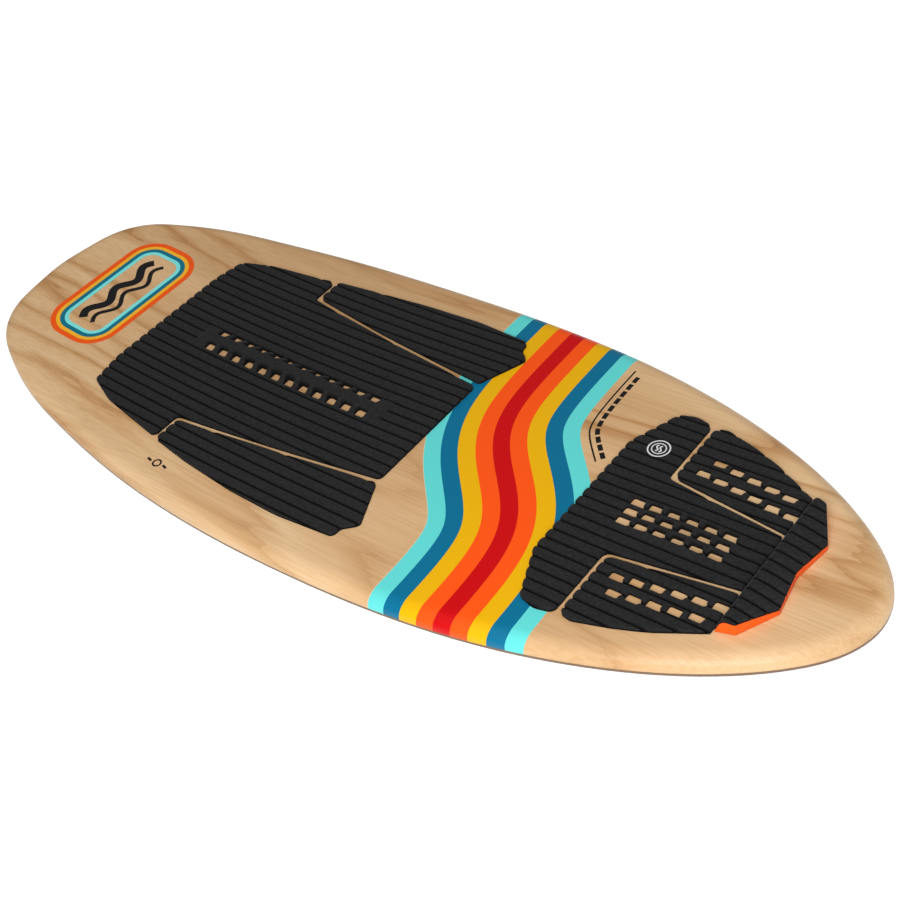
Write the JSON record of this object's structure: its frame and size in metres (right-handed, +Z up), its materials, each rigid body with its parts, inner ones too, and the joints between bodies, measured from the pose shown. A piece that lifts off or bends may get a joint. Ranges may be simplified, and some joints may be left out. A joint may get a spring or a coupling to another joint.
{
  "type": "wakeboard",
  "caption": "Skim-style board for surfing a boat's wake: laminated hull with wood-grain deck, foam traction pads, raised tail kick and removable fins.",
  "frame": {"origin": "halfway between nose and tail, on the centreline, on the flat stretch of the hull bottom", "axes": "+Y to the nose, +X to the rider's right when facing the nose, +Z up out of the deck"},
  "size_m": [0.517, 1.3202, 0.1165],
  "materials": {
    "deck_print": "clear-coated wood-grain print with coloured stripes",
    "hull_gloss": "polished laminate",
    "rail_plastic": "moulded edge strip",
    "core_foam": "fine-cell foam",
    "stringer_wood": "raw strip",
    "box_plastic": "moulded",
    "fin_plastic": "moulded, satin",
    "screw_steel": "stainless",
    "pad_foam": "brushed closed-cell foam with channels",
    "kick_foam": "closed-cell foam",
    "badge_rubber": "moulded, printed",
    "adhesive": "film"
  },
  "bodies": {
    "hull": {"deck_skin": "deck_print", "bottom_skin": "hull_gloss", "rail_cap": "deck_print", "rail_edge": "rail_plastic", "foam_core_left": "core_foam", "foam_core_right": "core_foam", "stringer": "stringer_wood", "fin_box_left": "box_plastic", "fin_box_right": "box_plastic", "fin_screws_left": "screw_steel", "fin_screws_right": "screw_steel", "front_centre_pad": "pad_foam", "front_left_pad": "pad_foam", "front_right_pad": "pad_foam", "front_arch_bar": "pad_foam", "rear_centre_pad": "pad_foam", "rear_left_pad": "pad_foam", "rear_right_pad": "pad_foam", "rear_arch_bar": "pad_foam", "kick_core": "kick_foam", "kick_sheet": "pad_foam", "pad_badge": "badge_rubber", "front_centre_adhesive": "adhesive", "front_side_adhesive": "adhesive", "rear_centre_adhesive": "adhesive", "rear_side_adhesive": "adhesive", "kick_adhesive": "adhesive"},
    "left_fin": {"fin_left": "fin_plastic"},
    "right_fin": {"fin_right": "fin_plastic"}
  },
  "joints": [
    {"name": "left_fin_lift", "type": "slide", "parent": "hull", "child": "left_fin", "axis": [0, 0, -1], "range_m": [0, 0.03]},
    {"name": "right_fin_lift", "type": "slide", "parent": "hull", "child": "right_fin", "axis": [0, 0, -1], "range_m": [0, 0.03]}
  ]
}
